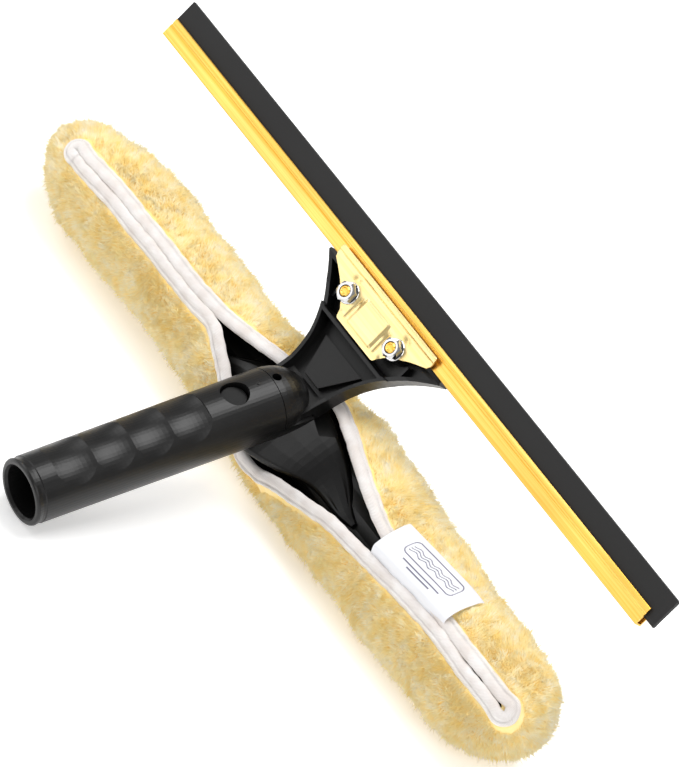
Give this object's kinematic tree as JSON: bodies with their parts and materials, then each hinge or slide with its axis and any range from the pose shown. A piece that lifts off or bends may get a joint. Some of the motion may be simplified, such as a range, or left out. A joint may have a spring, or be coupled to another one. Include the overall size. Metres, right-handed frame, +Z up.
{
  "type": "window cleaning squeegee",
  "caption": "Window cleaning tool: a brass squeegee with a rubber blade and a fleece washer on one ribbed handle, with a locking button and a clamp for the channel.",
  "frame": {"origin": "centre of the bounding box in plan, at floor height, with the tool lying on its washer and on the rear edge of its handle", "axes": "+X along the blade, +Y from the handle towards the washer and the blade's edge, +Z up"},
  "size_m": [0.3632, 0.167, 0.1022],
  "materials": {
    "black_nylon": "moulded glass-filled nylon, satin",
    "plated_steel": "bright zinc or nickel plate",
    "pale_brass": "pressed sheet, satin, brushed along its length",
    "brass": "drawn section, lightly brushed along its length",
    "black_rubber": "matt natural rubber",
    "yellow_fleece": "looped plush pile about 10 mm deep, yellow to cream",
    "white_cotton_tape": "white cotton twill tape, folded over the edge",
    "white_satin_label": "white satin weave with a plain printed outline"
  },
  "bodies": {
    "handle": {"handle_body": "black_nylon", "squeegee_head": "black_nylon", "button_spring": "plated_steel", "clamp_plate": "pale_brass", "clamp_stud_left": "brass", "clamp_stud_right": "brass", "fleece_sleeve": "yellow_fleece", "binding_tape": "white_cotton_tape", "cloth_label": "white_satin_label"},
    "lock_button": {"lock_button": "black_nylon"},
    "washer_left": {"clamp_washer_left": "plated_steel"},
    "nut_left": {"clamp_nut_left": "plated_steel"},
    "washer_right": {"clamp_washer_right": "plated_steel"},
    "nut_right": {"clamp_nut_right": "plated_steel"},
    "channel": {"brass_channel": "brass"},
    "rubber": {"rubber_blade": "black_rubber", "end_clip_left": "brass", "end_clip_right": "brass"}
  },
  "joints": [
    {"name": "lock_button_press", "type": "slide", "parent": "handle", "child": "lock_button", "axis": [0, 0.2593, -0.9658], "range_m": [0, 0.0033], "stiffness_N_per_m": 700, "springref_m": -0.002, "deforming": ["button_spring"]},
    {"name": "washer_left_lift", "type": "slide", "parent": "handle", "child": "washer_left", "axis": [0, -0.8732, 0.4874], "range_m": [0, 0.00159]},
    {"name": "nut_left_turn", "type": "hinge", "parent": "washer_left", "child": "nut_left", "pos_m": [-0.01906, 0.06342, 0.08402], "axis": [0, -0.8732, 0.4874], "range_deg": [0, 720]},
    {"name": "washer_right_lift", "type": "slide", "parent": "handle", "child": "washer_right", "axis": [0, -0.8732, 0.4874], "range_m": [0, 0.00159]},
    {"name": "nut_right_turn", "type": "hinge", "parent": "washer_right", "child": "nut_right", "pos_m": [0.01454, 0.06342, 0.08402], "axis": [0, -0.8732, 0.4874], "range_deg": [0, 720]},
    {"name": "channel_slide", "type": "slide", "parent": "handle", "child": "channel", "axis": [1, 0, 0], "range_m": [-0.1439, 0.1371]},
    {"name": "blade_slide", "type": "slide", "parent": "channel", "child": "rubber", "axis": [1, 0, 0], "range_m": [0, 0.34]}
  ],
  "couplings": [
    {"joint": "nut_left_turn", "follows": "washer_left_lift", "rad_per_m": 7913.2},
    {"joint": "nut_right_turn", "follows": "washer_right_lift", "rad_per_m": 7913.2}
  ]
}
